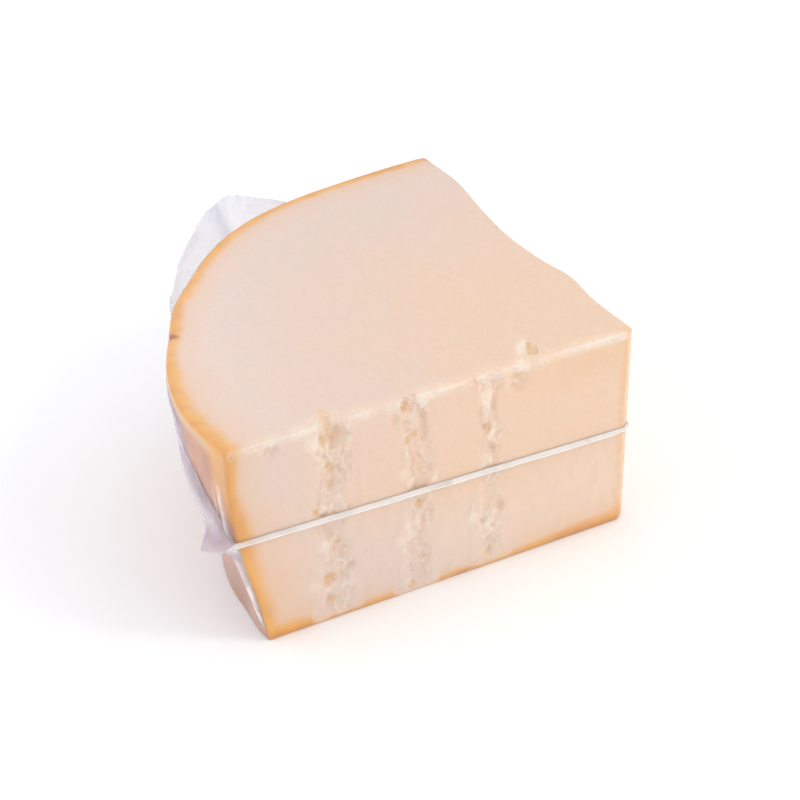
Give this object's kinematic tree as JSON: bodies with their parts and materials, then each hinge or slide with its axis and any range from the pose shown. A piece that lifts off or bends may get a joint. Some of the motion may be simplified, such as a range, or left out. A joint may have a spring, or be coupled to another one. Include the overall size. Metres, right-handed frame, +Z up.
{
  "type": "hard grating cheese",
  "caption": "Wedge of hard grating cheese cut from a big wheel. It rests on its rind, with crumbly cut faces, in clear shrink film with a welded edge and spare ears.",
  "frame": {"origin": "middle of the bounding box's footprint, on the surface that the block rests on", "axes": "+Z up from the rind to the cut top; the long cut face looks along -Y, the split face along +X, and the round rind lies at -X and +Y"},
  "size_m": [0.2284, 0.2236, 0.1102],
  "materials": {
    "cheese": "waxy pale cream paste with an orange-brown rind, slightly glossy under tight film",
    "film": "clear glossy shrink film, milky where it is welded or creased"
  },
  "bodies": {
    "root": {"cheese": "cheese", "film": "film"}
  },
  "joints": []
}
